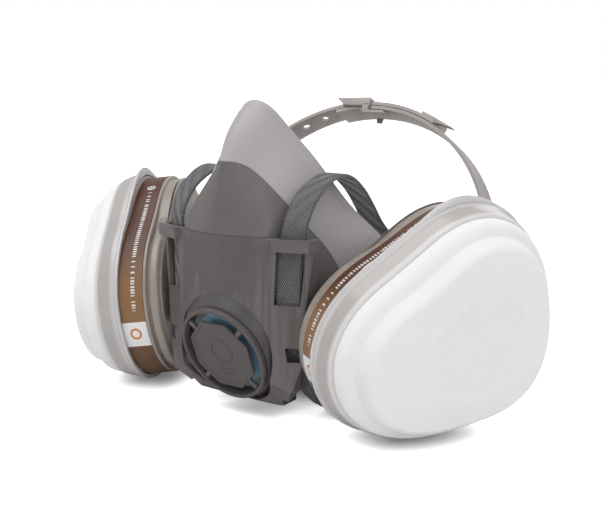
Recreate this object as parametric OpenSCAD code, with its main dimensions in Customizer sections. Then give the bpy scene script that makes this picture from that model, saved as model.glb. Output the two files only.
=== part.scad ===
// Reusable half-mask respirator with two bayonet gas cartridges, prefilters and a head harness.
// Frame: X across the face, -Y the way the mask looks, +Z up, origin on the table under the mask.

/* [Facepiece] */
// Wall of the soft face seal
seal_wall = 2.6; // [2:0.1:3.2]
// Wall of the stiff nose shell
shell_wall = 2.4; // [1.8:0.1:2.8]
// Gap left at the joint of the seal and the shell
joint_gap = 0.3; // [0.2:0.05:0.5]

/* [Front cover] */
// Radius of the front cover across the face
cover_r = 75; // [72:1:80]
// Wall of the front cover
cover_wall = 2.1; // [1.6:0.1:2.2]
// Width of each strap window at its top
window_w = 11.6; // [11:0.1:12]

/* [Exhalation valve] */
// Outer radius of the valve guard rim
guard_r = 21.1; // [20.5:0.1:22]
// Downward tilt of the valve axis
valve_tilt = 21.2; // [15:0.2:28]
// Radius of the valve flap
flap_r = 16.8; // [15.8:0.1:17.4]
// Circumradius of the eight-sided shield
shield_r = 16.2; // [14:0.1:17]

/* [Cartridges] */
// Mean radius of the rounded triangular cartridge outline
outline_r = 47; // [45:0.5:48]
// Heading of a cartridge away from straight ahead
cart_yaw = 62.4; // [61:0.1:64]
// Downward tilt of a cartridge
cart_pitch = 7.5; // [6:0.1:9]
// Distance of a cartridge from the centre plane
cart_x = 76; // [76:0.5:78]
// Height of a cartridge centre above the table
cart_z = 43.5; // [43:0.5:45]
// Offset of the bayonet from the cartridge centre
port_off = -12; // [-13:0.5:-11]
// Bayonet tube radius
port_r = 14; // [13.5:0.1:14]
// Number of points along a cartridge outline
outline_n = 72; // [48:12:96]

/* [Harness] */
// Width of the elastic webbing
web_w = 10.2; // [9:0.1:10.6]
// Thickness of the elastic webbing
web_t = 1.3; // [1:0.1:1.4]
// Width of the plastic head bands
band_w = 12; // [10:0.5:13]
// Inner radius of the lower layer of the crown band
crown_r = 75.2; // [75:0.1:76]
// Backward lean of the crown band
crown_lean = 27; // [20:1:32]

/* [Hidden] */
$fn = 64;
e = 0.01;

rubber = [0.60, 0.59, 0.59];
shell_grey = [0.33, 0.32, 0.32];
cover_grey = [0.38, 0.36, 0.35];
case_grey = [0.56, 0.54, 0.52];
web_grey = [0.36, 0.38, 0.41];
band_grey = [0.62, 0.60, 0.59];

// ---------- frames ----------
module right() { children(); }
module left() { mirror([1, 0, 0]) children(); }
// local x along the cartridge face towards the wearer, y up the face, z out of the face
module cart_frame() translate([cart_x, 0, cart_z]) rotate([90 + cart_pitch, 0, cart_yaw]) children();
module port_frame() cart_frame() translate([port_off, 0, 0]) children();
// local z along the breath, out of the valve; 0 is the front of the guard rim
module valve_frame() translate([0, -37, 27]) rotate([90 + valve_tilt, 0, 0]) children();
// local y from the arch centre to the crown, z through the arch
crown_c = [0, 39.6, 51.5];
module crown_frame() translate(crown_c) rotate([90 - crown_lean, 0, 0]) children();
junction = [0, 46.7, 65.3];

// ---------- curves ----------
function cr(a, b, c, d, t) = 0.5 * (2 * b + (c - a) * t + (2 * a - 5 * b + 4 * c - d) * t * t
  + (3 * b - a - 3 * c + d) * t * t * t);
// mask section coordinates (x, up the face plane, out of the face plane) to the frame
function mask(p) = [p[0], 16.5 - 0.462 * p[1] - 0.887 * p[2], 65.5 + 0.887 * p[1] - 0.462 * p[2]];
// half section given top to bottom, closed by its mirror image and smoothed, s points to a span
function whole(h) = let (n = len(h)) concat(h, [for (i = [n - 2:-1:1]) [-h[i][0], h[i][1], h[i][2]]]);
function ring(h, s) = let (c = whole(h), n = len(c))
  [for (i = [0:n - 1], j = [0:s - 1]) cr(c[(i + n - 1) % n], c[i], c[(i + 1) % n], c[(i + 2) % n], j / s)];
// move a section inwards by d and out of the face plane by w
function inset(r, d, w) = [for (p = r) let (v = [p[0], p[1] + 12], l = max(norm(v), 1))
  [p[0] - d * v[0] / l, p[1] - d * v[1] / l, p[2] + w]];
function mid(a, b, t, f) = [for (i = [0:len(a) - 1]) let (q = a[i] * (1 - t) + b[i] * t,
  v = [q[0], q[1] + 12], l = max(norm(v), 1)) [q[0] + f * v[0] / l, q[1] + f * v[1] / l, q[2]]];
function flat(l) = [for (a = l, b = a) b];
// a ring of closed profiles joined into one tube
module torus(rows, m) { k = len(rows);
  polyhedron(points = [for (p = flat(rows)) mask(p)],
    faces = [for (i = [0:k - 1], j = [0:m - 1]) let (a = i * m + j, b = i * m + (j + 1) % m,
      c = ((i + 1) % k) * m + (j + 1) % m, d = ((i + 1) % k) * m + j)
      each [[a, d, c], [a, c, b]]]); }

// frame point to mask section coordinates
function um(x, y, z) = [x, -0.462 * (y - 16.5) + 0.887 * (z - 65.5), -0.887 * (y - 16.5) - 0.462 * (z - 65.5)];

// sections of the facepiece, from the nose down the wearer's left side to the chin
rim = [[0, 70.4, 0], [7.5, 67.2, 0], [14.5, 56, 0], [22, 43.5, 0], [32, 23, 0], [44, 7, 0], [52, -8, 0], [54, -22, 0], [50, -45, 0], [30, -64, 0], [0, -70.4, 0]];
joint = [[0, 58.9, 27.8], [4.8, 57, 25.2], [9.5, 52.3, 23], [18, 44, 23.9], [27, 30, 23.5], [34, 14.5, 22], [39, -2, 24.5], [41, -17, 29], [36, -38, 30], [22, -53.5, 28], [0, -58, 27]];
brow = [um(0, -41.6, 76.9), um(8, -40.6, 76.9), um(16, -37.6, 76.8), um(21.8, -34.4, 76.7), um(24.2, -27.2, 72.5), um(31.5, -24.5, 62),
  um(33, -23.5, 50), um(32.5, -23, 38), um(28, -24, 26), um(16, -27, 18), um(0, -28, 16)];
behind = [um(0, -36.4, 76.7), um(8, -35.6, 76.7), um(16, -33.6, 76.3), um(20.6, -30.5, 74.6), um(23.4, -27, 71), um(29, -25.2, 61),
  um(31, -24.4, 50), um(30, -24, 39), um(26, -25, 28), um(15, -28, 21.5), um(0, -29, 20)];
sub = 4;
m_ring = 20 * sub;
r_rim = ring(rim, sub);
r_joint = ring(joint, sub);
r_brow = ring(brow, sub);
r_behind = ring(behind, sub);

// ---------- facepiece ----------
// soft seal: outer wall, rolled rim, inturned flange and inner wall in one closed profile
module face_seal() color(rubber) difference() {
  union() {
    torus([
      inset(r_joint, 0.5, -joint_gap), mid(r_rim, r_joint, 0.55, 1.6), r_rim, inset(r_rim, 1.0, -1.3),
      inset(r_rim, 3, -1.2), inset(r_rim, 13, 3.4), inset(r_rim, 13.2, 5), inset(r_rim, 4.2, 2.6),
      inset(mid(r_rim, r_joint, 0.55, 1.6), seal_wall + 0.4, 0), inset(r_joint, seal_wall, -joint_gap)], m_ring);
    for (s = [0, 1]) mirror([s, 0, 0]) port_frame() translate([0, 0, -37]) cylinder(r = 18.4, h = 11);
  }
  for (s = [0, 1]) mirror([s, 0, 0]) port_frame() {
    translate([0, 0, -50]) cylinder(r = port_r + 0.15, h = 60);
    translate([0, 0, -60]) cylinder(r = 19, h = 23.5);
  }
}

// stiff shell: outer and inner skins joined at the edge, closed at the front
nose_tip = um(0, -31, 46);
module nose_shell() color(shell_grey) difference() {
  polyhedron(points = [for (p = concat(r_joint, mid(r_joint, r_brow, 0.5, 0.9), r_brow, r_behind, [nose_tip],
      inset(r_joint, shell_wall, 0), inset(mid(r_joint, r_brow, 0.5, 0.9), shell_wall, -0.8),
      inset(r_brow, shell_wall + 0.6, -1.5), inset(r_behind, shell_wall + 1.6, -2.2), [nose_tip - [0, 0, shell_wall]])) mask(p)],
    faces = let (m = m_ring, o = 4 * m + 1) concat(
      [for (i = [0:2], j = [0:m - 1]) let (a = i * m + j, b = i * m + (j + 1) % m) each [[a, b, b + m], [a, b + m, a + m]]],
      [for (j = [0:m - 1]) [3 * m + j, 3 * m + (j + 1) % m, 4 * m]],
      [for (i = [0:2], j = [0:m - 1]) let (a = o + i * m + j, b = o + i * m + (j + 1) % m) each [[a, b + m, b], [a, a + m, b + m]]],
      [for (j = [0:m - 1]) [o + 3 * m + j, o + 4 * m, o + 3 * m + (j + 1) % m]],
      [for (j = [0:m - 1]) let (a = j, b = (j + 1) % m) each [[a, o + a, o + b], [a, o + b, b]]]));
  for (s = [0, 1]) mirror([s, 0, 0]) port_frame() translate([0, 0, -60]) cylinder(r = 19, h = 60);
  valve_frame() translate([0, 0, -60]) cylinder(r = 20.2, h = 70);
  valve_frame() translate([0, 0, -14.5]) cylinder(r = 24.4, h = 30);
}

// front outline of the cover, its side profile and the plan radius, each inset by d
module cover_front(d) rotate([90, 0, 0]) translate([0, 0, -20]) linear_extrude(80)
  polygon(let (h = [[0, 76.6], [38.6, 76.5], [39.3, 75.8], [39.2, 71], [37.4, 58], [36.2, 49], [35.9, 42], [35.4, 28], [31.8, 17], [25, 8.6], [14, 4], [0, 2.8]])
    concat([for (p = h) [max(p[0] - (p[0] > 0 ? d : 0), 0), p[1] + (p[1] > 40 ? (p[1] > 70 ? -d : 0) : d * (1 - p[1] / 40))]],
      [for (i = [len(h) - 2:-1:1]) let (p = h[i]) [-(p[0] - d), p[1] + (p[1] > 40 ? (p[1] > 70 ? -d : 0) : d * (1 - p[1] / 40))]]));
module cover_side(d, back) translate([-60, 0, 0]) rotate([90, 0, 90]) linear_extrude(120)
  polygon([[-60, 90], [-60, 40], [-38.2 + d, 30 + d * 0.4], [-34 + d, 18 + d * 0.6], [-25 + d * 0.8, 7.5 + d], [-15, 2.8 + d], [back, 2.2 + d], [back, 13], [back - 12, 18], [back - 12, 90]]);
// plan shape: a broad arc, with a narrower ridge that grows towards the nose
module cover_plan(d) {
  translate([0, cover_r - 38.6, -5]) cylinder(r = cover_r - d, h = 120, $fn = 160);
  translate([0, -38.6 + 34, 53]) rotate([7, 0, 0]) translate([0, 0, -60]) cylinder(r = 34 - d, h = 120, $fn = 120);
}
// the webbing leans with the cover, so its windows and channel do too
module strap_way(s) mirror([s < 0 ? 1 : 0, 0, 0]) translate([30.9, -28.75, 0]) rotate([0, 0, 21]) children();
module opening(p, y0, y1) translate([0, y1, 0]) rotate([90, 0, 0]) linear_extrude(y1 - y0) polygon(p);
module front_cover() color(cover_grey) difference() {
  union() {
    difference() {
      union() {
        intersection() { cover_front(0); cover_side(0, -9.5); cover_plan(0); }
        // shallow boss round the valve
        intersection() {
          valve_frame() translate([0, 0, -15]) cylinder(r1 = 34.5, r2 = 31, h = 4.6, $fn = 96);
          cover_front(0.6);
          translate([-60, -60, 5]) cube([120, 32, 62]);
        }
      }
      intersection() { cover_front(cover_wall); cover_side(cover_wall, 20); cover_plan(cover_wall); }
      // the top is open to the nose shell and the straps
      translate([-37.4, -36.6, 74.2]) cube([74.8, 40, 4]);
      translate([-23, -60, 74.2]) intersection() { cube([46, 60, 1.2]); translate([23, 56, 0]) cylinder(r = 35.9, h = 10); }
      translate([-60, -24.2, 45]) cube([120, 30, 45]);
    }
    // the bridge over each strap
    for (s = [-1, 1]) intersection() {
      strap_way(s) translate([0, 0, 71.7]) difference() {
        translate([-8.1, -5.3, 0]) cube([20, 12, 4.7]);
        translate([-6, -2.5, -1]) cube([12.2, 20, 7]);
      }
      translate([-39.3, -60, 60]) cube([78.6, 35.8, 30]);
    }
  }
  valve_frame() translate([0, 0, -40]) cylinder(r = 24.2, h = 60, $fn = 96);
  // the windows that show the webbing, and the way it runs behind them
  for (s = [-1, 1]) strap_way(s) {
    opening([[-6.7, 71.4], [window_w - 6.7, 71.4], [2.9, 50.4], [-7.9, 50.4]], -20, 3.4);
    opening([[-3.4, 33.8], [2.3, 33.8], [2.7, 28], [-2.5, 28]], -20, 12);
    opening([[-6, 95], [6.2, 95], [6.2, 76], [4.4, 69], [3.4, 58], [3, 46], [4.2, 40], [4.6, 35], [5, 26], [-4.9, 26], [-6.6, 34], [-7.4, 39], [-8.1, 45],
      [-8.1, 60], [-7.4, 71]], -0.95, 3.4);
    opening([[-6.5, 19], [-1.5, 25.5], [1.9, 25.5], [1.9, 2], [-6.5, 2]], 3.2, 40);
    opening([[1.9, 37], [20, 37], [20, 2], [1.9, 2]], 0.1, 41);
  }
  // room for the brow of the nose shell
  translate([-24.9, -33.2, 70]) cube([49.8, 30, 12]);
}

// ---------- exhalation valve ----------
module valve_collar() color(shell_grey) valve_frame() rotate_extrude($fn = 96)
  polygon([[19.5, -27], [20, -27], [20, -13], [23.8, -11.5], [23.3, -8], [21.6, -2.8], [19.5, -2.8], [19.5, -9], [17.5, -9], [17.5, -11.5], [19.5, -11.5]]);
module valve_seat() color(band_grey) valve_frame() {
  translate([0, 0, -8.9]) difference() { cylinder(r = 19.3, h = 2.4); translate([0, 0, -1]) cylinder(r = 15.2, h = 5); }
  for (a = [0:60:300]) rotate([0, 0, a]) translate([2, -0.8, -8.75]) cube([14.2, 1.6, 1.5]);
  translate([0, 0, -8.6]) cylinder(r = 3, h = 1.6);
  translate([0, 0, -7.8]) cylinder(r = 1.4, h = 3);
}
module exhalation_flap() color([0.35, 0.52, 0.68]) valve_frame() difference() {
  rotate_extrude($fn = 96) polygon([[1.5, -6.1], [10, -6.2], [flap_r, -6.4], [flap_r, -5.7], [10, -5], [4, -4.6], [1.5, -4.6]]);
}
module valve_guard() color(cover_grey) valve_frame() {
  rotate_extrude($fn = 96) polygon([[18.7, 0], [20.5, 0], [guard_r, -0.6], [guard_r, -2.6], [19.3, -2.6], [19.3, -3.4], [18.1, -3.4], [18.1, -2.6]]);
  difference() {
    translate([0, 0, -1.3]) linear_extrude(1.6) polygon([for (i = [0:7]) shield_r * [cos(22.5 + 45 * i), sin(22.5 + 45 * i)]]);
    translate([0, 0, -0.4]) linear_extrude(2) polygon([for (i = [0:7]) (shield_r - 1.3) * [cos(22.5 + 45 * i), sin(22.5 + 45 * i)]]);
  }
  for (a = [45:90:315]) rotate([0, 0, a]) translate([14.2, -1, -2.2]) cube([5, 2, 1.8]);
}

// ---------- inlet ports ----------
module inlet_port() color(band_grey) port_frame() {
  difference() {
    union() {
      translate([0, 0, -35]) cylinder(r = port_r, h = 18, $fn = 96);
      translate([0, 0, -25.9]) cylinder(r = 18, h = 1.7, $fn = 96);
      for (a = [0:120:240]) rotate([0, 0, a]) translate([0, 0, -18.7]) intersection() {
        cylinder(r = port_r + 2.2, h = 1.6); translate([0, -4, -1]) cube([20, 8, 4]); }
    }
    translate([0, 0, -36]) cylinder(r = port_r - 2, h = 20, $fn = 96);
  }
  for (a = [0:60:300]) rotate([0, 0, a]) translate([1, -0.7, -31]) cube([port_r - 2.4, 1.4, 1.6]);
  translate([0, 0, -31]) cylinder(r = 2.6, h = 1.6);
  translate([0, 0, -34.4]) cylinder(r = 1.4, h = 4);
}
module port_gasket() color([0.2, 0.2, 0.2]) port_frame() translate([0, 0, -24.1])
  difference() { cylinder(r = 17.6, h = 3.4, $fn = 96); translate([0, 0, -1]) cylinder(r = port_r + 0.3, h = 6, $fn = 96); }
module inhalation_flap() color([0.85, 0.85, 0.83]) port_frame() translate([0, 0, -31.9])
  difference() { cylinder(r = port_r - 2.6, h = 0.8, $fn = 96); translate([0, 0, -1]) cylinder(r = 1.5, h = 3); }

// ---------- cartridges ----------
// rounded triangular outline, drawn in from the lip by d
function out_r(t, d) = outline_r * (1 + 0.0437 * cos(2 * t) + 0.0847 * sin(2 * t) - 0.0438 * cos(3 * t)
  - 0.0437 * sin(3 * t) - 0.0017 * cos(4 * t) - 0.0114 * sin(4 * t)) - d;
module outline(d) polygon([for (i = [0:outline_n - 1]) let (t = 360 * i / outline_n) out_r(t, d) * [cos(t), sin(t)]]);
module slab(z0, z1, d) translate([0, 0, z0]) linear_extrude(z1 - z0) outline(d);
module wall(z0, z1, d0, d1) translate([0, 0, z0]) linear_extrude(z1 - z0) difference() { outline(d0); outline(d1); }
module cartridge_case(s) color(case_grey) cart_frame() difference() {
  union() { slab(-19.2, -18.2, 5.5); slab(-18.3, -12.4, 3.4); slab(-12.5, -11.6, 4.2); slab(-11.7, 1.5, 2.35);
    translate([port_off, 0, -20.5]) cylinder(r1 = 21, r2 = 22, h = 1.6, $fn = 96); }
  slab(-17.6, 3, 5.8);
  translate([port_off, 0, -18.8]) cylinder(r = 17.5, h = 1.6, $fn = 96);
  translate([port_off, 0, -25]) cylinder(r = port_r + 0.35, h = 10, $fn = 96);
  for (a = [0:120:240]) translate([port_off, 0, -22]) rotate([0, 0, a - s * 45]) intersection() {
    cylinder(r = port_r + 2.6, h = 5); translate([0, -4.8, -1]) cube([20, 9.6, 8]); }
}
module cartridge_grille() color(case_grey) cart_frame() difference() {
  union() { slab(1.6, 3, 2.35); slab(-0.6, 1.7, 6.1); }
  slab(-1, 1.6, 7.4);
  for (i = [-3:3], j = [-3:3]) if (i * i + j * j + i * j < 11)
    translate([(i + j / 2) * 11, j * 9.6, -2]) cylinder(r = 3.2, h = 8, $fn = 32);
}
module carbon_bed() color([0.12, 0.12, 0.12]) cart_frame() slab(-13.8, -2.9, 6);
module dust_felts() color([0.9, 0.9, 0.88]) cart_frame() { slab(-15.6, -13.9, 6); slab(-2.8, -1.1, 6); }
module cartridge_label() color([0.36, 0.20, 0.12]) cart_frame() wall(-11.2, -1.3, 1.95, 2.3);
module prefilter_pad() color([0.95, 0.95, 0.94]) cart_frame() {
  slab(3.1, 8.7, 5.4); slab(8.6, 12, 7.8); slab(11.9, 21.5, 9.6); }
module pad_retainer() color([0.86, 0.85, 0.85, 0.8]) cart_frame() {
  wall(-1, 0.4, 0, 1.85); wall(0.3, 4, 0.9, 1.95); wall(3.9, 7, 1.7, 3.4); wall(6.9, 9.4, 2.4, 4.4); wall(9.1, 10.2, 3, 7.5); }

// ---------- harness ----------
// webbing swept along stations of [centre, face direction]
function unit(v) = v / max(norm(v), 1e-6);
function sweep_at(st, i, t) = let (n = len(st), a = st[max(i - 1, 0)], b = st[i], c = st[min(i + 1, n - 1)], d = st[min(i + 2, n - 1)])
  cr(a[0], b[0], c[0], d[0], t);
function sweep_pts(st, s) = let (n = len(st)) [for (i = [0:n - 2], j = [0:(i == n - 2 ? s : s - 1)]) let (t = j / s,
  p = sweep_at(st, i, t), g = unit(sweep_at(st, i, min(t + 0.05, 1)) - sweep_at(st, i, max(t - 0.05, 0))),
  f = unit(st[i][1] * (1 - t) + st[i + 1][1] * t), w = unit(cross(f, g)), h = cross(g, w))
  each [p + w * web_w / 2 + h * web_t / 2, p - w * web_w / 2 + h * web_t / 2,
    p - w * web_w / 2 - h * web_t / 2, p + w * web_w / 2 - h * web_t / 2]];
module sweep(st, s) { P = sweep_pts(st, s); k = len(P) / 4;
  polyhedron(points = P, faces = concat([[0, 1, 2, 3]], [for (i = [0:k - 2], j = [0:3]) let (a = 4 * i + j, b = 4 * i + (j + 1) % 4)
    each [[a, a + 4, b + 4], [a, b + 4, b]]], [[4 * k - 1, 4 * k - 2, 4 * k - 3, 4 * k - 4]])); }
tab_x = 69;
// cross bar of a neck clip: its centre and radius
clip_p = [24, 66, 3];
bar_r = 1.5;
// from the cradle tab, behind the cheek, over it, down through the cover and back to the neck
upper = [
  [[tab_x, 46.7, 65.3], [1, 0, 0]], [[tab_x - 0.3, 41, 64.8], [1, 0, 0]], [[66.2, 36, 64.2], [0.8, -0.6, 0]],
  [[61.5, 33.8, 63.4], [0.2, -1, 0]], [[54, 34.6, 62.8], [-0.1, -1, 0]], [[45.6, 36.4, 63.6], [-0.1, -1, 0]],
  [[38, 37.2, 67.2], [0, -1, 0]], [[33.2, 35.8, 73.8], [0, -1, -0.1]], [[31.4, 31.4, 82], [0, -0.9, -0.4]],
  [[31, 24.4, 90], [0, -0.7, -0.7]], [[31.1, 14, 96], [0, -0.4, -0.9]],
  [[31.3, 2, 98.6], [0, -0.1, -1]], [[31.3, -11, 97.2], [0, 0.4, -0.9]],
  [[31.2, -21.5, 91.4], [-0.15, 0.8, -0.6]], [[31, -27.2, 84], [-0.3, 1, -0.2]],
  [[30.62, -28.86, 78], [-0.36, 0.93, 0]], [[29.31, -29.36, 71], [-0.36, 0.93, 0]],
  [[28.57, -29.65, 60], [-0.36, 0.93, 0]], [[28.57, -29.65, 50], [-0.36, 0.93, 0]],
  [[29.2, -28.9, 40], [-0.36, 0.93, 0]], [[30.3, -26.9, 31], [-0.34, 0.93, 0.1]]];
lower_right = [[[31.1, -24.4, 23.6], [-0.3, 0.93, 0.2]], [[31.7, -20.8, 17], [-0.2, 0.8, 0.5]], [[32, -16.4, 11.4], [-0.1, 0.7, 0.7]],
  [[32.2, -9.4, 5.6], [0, 0.4, 0.9]], [[32, 0, 2.4], [0, 0.1, 1]], [[34, 22, 1.5], [0, 0, 1]],
  [[33.4, 40, 1.4], [0, 0, 1]], [[29.6, 54, 1.4], [0, 0, 1]], [[clip_p[0] + 1.2, clip_p[1] - 1.8, 1.2], [0, 0, 1]]];
lower_left = [[[30.6, -24.2, 22], [-0.26, 0.85, 0.4]], [[29.4, -17.8, 13.8], [-0.1, 0.6, 0.8]],
  [[27.6, -6.6, 6.4], [0, 0.45, 0.9]], [[27, 5, 2.9], [0, 0.1, 1]], [[29, 22, 1.5], [0, 0, 1]],
  [[31, 40, 1.4], [0, 0, 1]], [[29, 54, 1.4], [0, 0, 1]], [[clip_p[0] + 1.2, clip_p[1] - 1.8, 1.2], [0, 0, 1]]];
// the tab at the cradle is drilled for the rivet, and the far end loops round the bar of the neck clip
module elastic_strap(low) color(web_grey) difference() {
  union() {
    sweep(concat(upper, low), 3);
    translate([tab_x - web_t / 2, junction[1], junction[2]]) rotate([0, 90, 0]) cylinder(r = 6.4, h = web_t);
    clip_frame() rotate([0, 90, 0]) translate([0, 0, -web_w / 2]) cylinder(r = bar_r + 0.1 + web_t, h = web_w);
  }
  translate([tab_x - 5, junction[1], junction[2]]) rotate([0, 90, 0]) cylinder(r = 2.5, h = 10);
  clip_frame() rotate([0, 90, 0]) translate([0, 0, -web_w]) cylinder(r = bar_r + 0.06, h = 2 * web_w);
}

// an arc of band about z, from a0 to a1 degrees, r0 inner radius
module arc(r0, t, a0, a1, w) rotate([0, 0, a0]) rotate_extrude(angle = a1 - a0, $fn = 180) translate([r0, -w / 2]) square([t, w]);
module rad(a, r) rotate([0, 0, a]) translate([r, 0, 0]) rotate([0, 90, 0]) children();
module tab(x, t) translate([x, junction[1], junction[2]]) rotate([0, 90, 0]) children();
module crown_band_right() color(band_grey) difference() {
  union() { crown_frame() { arc(crown_r, 1.6, 14, 105, band_w);
      for (a = [71, 79]) rad(a, crown_r + 1.2) cylinder(r = 1.5, h = 2.9); }
    tab(73.6) cylinder(r = 6.8, h = 1.6); }
  tab(60) cylinder(r = 2.5, h = 40);
}
module crown_band_left() color(band_grey) difference() {
  union() { crown_frame() { arc(crown_r + 1.9, 1.6, 64, 166, band_w); arc(crown_r + 3.4, 1.2, 64, 70, band_w); }
    mirror([1, 0, 0]) tab(74.4) cylinder(r = 6, h = 1.6); }
  crown_frame() for (a = [71, 79, 87, 95, 112, 120, 128]) rad(a, crown_r + 1) cylinder(r = 1.9, h = 8);
  mirror([1, 0, 0]) tab(60) cylinder(r = 2.5, h = 40);
}
// keeper that holds both layers of the crown band
module crown_slider() color(band_grey) crown_frame() difference() {
  union() { arc(crown_r - 1.7, 7.2, 93, 101, band_w + 3.6); arc(crown_r + 5.4, 1.4, 91.5, 103.5, band_w + 3.6); }
  arc(crown_r - 0.25, 4.0, 90, 106, band_w + 0.6);
}
rear_r = 70.1;
module rear_band() color(band_grey) difference() {
  union() { translate(junction) rotate([-40, 0, 0]) arc(rear_r + 0.25, 1.6, -3, 183, band_w);
    for (s = [0, 1]) mirror([s, 0, 0]) tab(rear_r) cylinder(r = 6.8, h = 1.6); }
  for (s = [0, 1]) mirror([s, 0, 0]) tab(60) cylinder(r = 2.5, h = 40);
}
module cradle_rivet(x1) color(case_grey) {
  tab(67.5) cylinder(r = 2.44, h = x1 - 67.5 + 0.7);
  tab(66.9) cylinder(r = 4.4, h = 1.2);
  tab(x1 + 0.45) cylinder(r1 = 4.4, r2 = 3.4, h = 1.2);
}
// neck clip halves, each on the webbing end by its own cross bar
module clip_frame() translate(clip_p) rotate([0, 0, 33]) children();
module neck_frame() {
  rotate([0, 90, 0]) translate([0, 0, -8]) cylinder(r = bar_r, h = 16);
  for (s = [-1, 1]) translate([s * 7.5 - 1.1, -1.9, -1.5]) cube([2.2, 22, 3]);
  difference() {
    translate([-8, 4.2, -1.5]) cube([16, 15.9, 3]);
    children();
  }
}
module neck_hook() color(cover_grey) mirror([1, 0, 0]) clip_frame() {
  neck_frame() translate([-5.4, 7.4, -3]) cube([10.8, 9.4, 8]);
  translate([-4, 19.9, -1.5]) cube([8, 6.5, 1.4]);
  translate([-4, 25, -1.5]) cube([8, 1.6, 4.6]);
}
module neck_loop() color(cover_grey) clip_frame() neck_frame() translate([-5.2, 7, -3]) cube([10.4, 10.4, 8]);

face_seal();
nose_shell();
front_cover();
valve_collar();
valve_seat();
exhalation_flap();
valve_guard();
left() inlet_port();  // inlet_port_left
right() inlet_port();  // inlet_port_right
left() port_gasket();  // port_gasket_left
right() port_gasket();  // port_gasket_right
left() inhalation_flap();  // inhalation_flap_left
right() inhalation_flap();  // inhalation_flap_right
left() cartridge_case(-1);  // cartridge_case_left
right() cartridge_case(1);  // cartridge_case_right
left() cartridge_grille();  // cartridge_grille_left
right() cartridge_grille();  // cartridge_grille_right
left() carbon_bed();  // carbon_bed_left
right() carbon_bed();  // carbon_bed_right
left() dust_felts();  // dust_felts_left
right() dust_felts();  // dust_felts_right
left() cartridge_label();  // cartridge_label_left
right() cartridge_label();  // cartridge_label_right
left() prefilter_pad();  // prefilter_pad_left
right() prefilter_pad();  // prefilter_pad_right
left() pad_retainer();  // pad_retainer_left
right() pad_retainer();  // pad_retainer_right
left() elastic_strap(lower_left);  // elastic_strap_left
right() elastic_strap(lower_right);  // elastic_strap_right
crown_band_left();
crown_band_right();
crown_slider();
rear_band();
left() cradle_rivet(76);  // cradle_rivet_left
right() cradle_rivet(75.2);  // cradle_rivet_right
neck_hook();
neck_loop();
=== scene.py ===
import bpy, bmesh, math
import numpy as np
from mathutils import Vector, Matrix


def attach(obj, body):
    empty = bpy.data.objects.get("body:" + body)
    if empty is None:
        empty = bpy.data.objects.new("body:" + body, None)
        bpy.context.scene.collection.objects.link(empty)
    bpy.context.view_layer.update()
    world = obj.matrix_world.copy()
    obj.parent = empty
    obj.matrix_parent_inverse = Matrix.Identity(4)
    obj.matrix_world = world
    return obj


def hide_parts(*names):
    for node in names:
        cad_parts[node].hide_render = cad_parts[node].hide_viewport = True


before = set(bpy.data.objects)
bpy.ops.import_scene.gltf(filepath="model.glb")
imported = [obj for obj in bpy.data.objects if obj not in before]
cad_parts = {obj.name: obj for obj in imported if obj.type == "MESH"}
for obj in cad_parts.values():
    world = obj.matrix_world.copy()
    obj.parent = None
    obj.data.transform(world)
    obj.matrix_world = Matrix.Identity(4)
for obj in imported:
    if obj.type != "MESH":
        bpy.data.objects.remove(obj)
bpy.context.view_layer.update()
scene = bpy.context.scene
MM = 0.001
rng = np.random.RandomState(7)

# ------------------------------------------------------------------ frames
# The same frames as the CAD source, in millimetres.


def rot(axis, deg):
    a = math.radians(deg)
    c, s = math.cos(a), math.sin(a)
    return np.array({"x": [[1, 0, 0], [0, c, -s], [0, s, c]], "y": [[c, 0, s], [0, 1, 0], [-s, 0, c]],
                     "z": [[c, -s, 0], [s, c, 0], [0, 0, 1]]}[axis], float)


class Place:
    def __init__(self, o, r):
        self.o, self.r = np.array(o, float), np.array(r, float)

    def __call__(self, p):
        return np.asarray(p, float).reshape(-1, 3) @ self.r.T + self.o

    def then(self, o=(0, 0, 0), r=None):
        return Place(self.r @ np.array(o, float) + self.o, self.r @ (np.eye(3) if r is None else r))


ROW = Place((0, 0, 0), np.eye(3))
CART = Place((76, 0, 43.5), rot("z", 62.4) @ rot("x", 97.5))
PORT = CART.then((-12, 0, 0))
VALVE = Place((0, -37, 27), rot("x", 111.2))
CROWN = Place((0, 39.6, 51.5), rot("x", 63))
JUNCTION = np.array((0, 46.7, 65.3))


def mask_pt(p):
    p = np.asarray(p, float).reshape(-1, 3)
    return np.stack([p[:, 0], 16.5 - 0.462 * p[:, 1] - 0.887 * p[:, 2], 65.5 + 0.887 * p[:, 1] - 0.462 * p[:, 2]], 1)


def um(x, y, z):
    return [x, -0.462 * (y - 16.5) + 0.887 * (z - 65.5), -0.887 * (y - 16.5) - 0.462 * (z - 65.5)]


# ------------------------------------------------------------------ mesh helpers
def make(name, verts, faces, mat, body, nodes=(), flip=False, attrs=None, smooth=True, sharp=None, recalc=True):
    v = np.asarray(verts, float).reshape(-1, 3) * MM
    if flip:
        v = v * np.array([-1, 1, 1])
        faces = [tuple(reversed(f)) for f in faces]
    me = bpy.data.meshes.new(name)
    me.from_pydata(v.tolist(), [], [tuple(int(i) for i in f) for f in faces])
    me.update()
    if attrs is not None:
        a = me.attributes.new("loc", "FLOAT_VECTOR", "POINT")
        a.data.foreach_set("vector", np.asarray(attrs, np.float32).ravel())
    if recalc:
        bm = bmesh.new()
        bm.from_mesh(me)
        bmesh.ops.recalc_face_normals(bm, faces=bm.faces)
        bm.to_mesh(me)
        bm.free()
    if smooth:
        me.polygons.foreach_set("use_smooth", [True] * len(me.polygons))
    if sharp:
        me.set_sharp_from_angle(angle=math.radians(sharp))
    ob = bpy.data.objects.new(name, me)
    scene.collection.objects.link(ob)
    me.materials.append(mat)
    if body:
        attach(ob, body)
    if nodes:
        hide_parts(*([nodes] if isinstance(nodes, str) else nodes))
    return ob


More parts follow.
